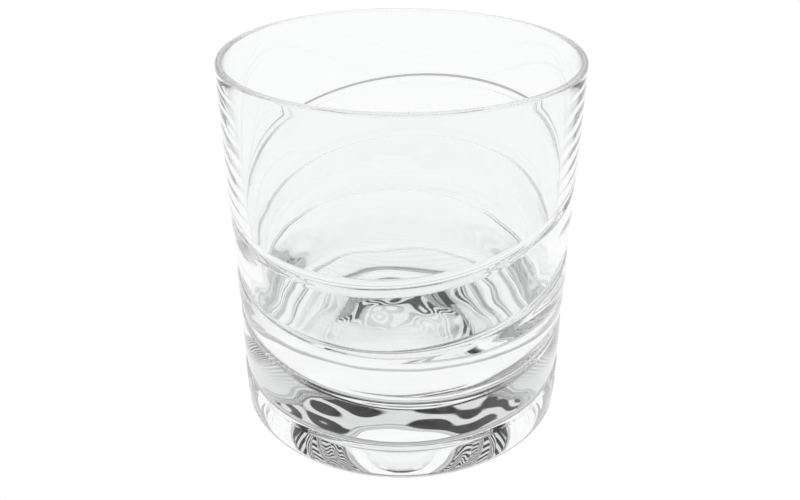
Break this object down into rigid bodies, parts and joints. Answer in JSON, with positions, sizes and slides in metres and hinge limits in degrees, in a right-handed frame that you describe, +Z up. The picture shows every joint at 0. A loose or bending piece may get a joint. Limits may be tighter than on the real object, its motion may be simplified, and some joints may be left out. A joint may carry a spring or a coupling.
{
  "type": "whiskey tumbler",
  "caption": "Clear glass double old-fashioned whiskey tumbler with a thick base, a plain upper wall and a lower wall of gently swollen bands parted by narrow tilted ring grooves.",
  "frame": {"origin": "centre of the resting face, on the surface the tumbler stands on", "axes": "+Z up along the axis of the bowl; -Y faces the viewer, where the grooves dip; the top groove is highest 67 degrees from +X towards +Y"},
  "size_m": [0.085, 0.085, 0.0918],
  "materials": {
    "clear_glass": "fire-polished, clear"
  },
  "bodies": {
    "root": {"tumbler_body": "clear_glass"}
  },
  "joints": []
}
